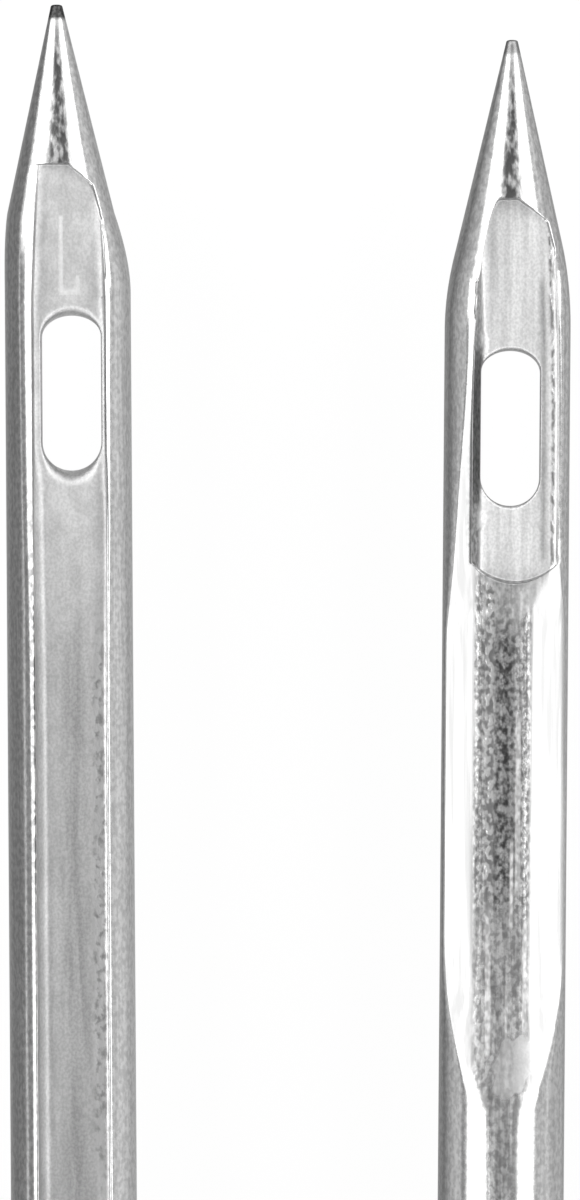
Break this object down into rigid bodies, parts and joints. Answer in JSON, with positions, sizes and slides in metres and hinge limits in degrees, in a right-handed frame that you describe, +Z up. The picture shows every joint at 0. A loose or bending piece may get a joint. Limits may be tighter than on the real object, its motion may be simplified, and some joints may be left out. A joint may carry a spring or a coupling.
{
  "type": "embroidery machine needle pair",
  "caption": "Slender plated steel embroidery machine needles lying side by side, each with a round shank, long thread groove, large eye, scarf and tapered point.",
  "frame": {"origin": "middle of the ground that the pair covers, on the surface that the shanks lie on", "axes": "+Y along the needles, from butt to point; +Z up, away from the surface, out of the left needle's long groove; +X from the left needle to the right one"},
  "size_m": [0.0038, 0.0368, 0.0016],
  "materials": {
    "plated_steel": "bright plated steel with fine drawing lines along the blade"
  },
  "bodies": {
    "root": {"groove_needle": "plated_steel", "scarf_needle": "plated_steel"}
  },
  "joints": []
}
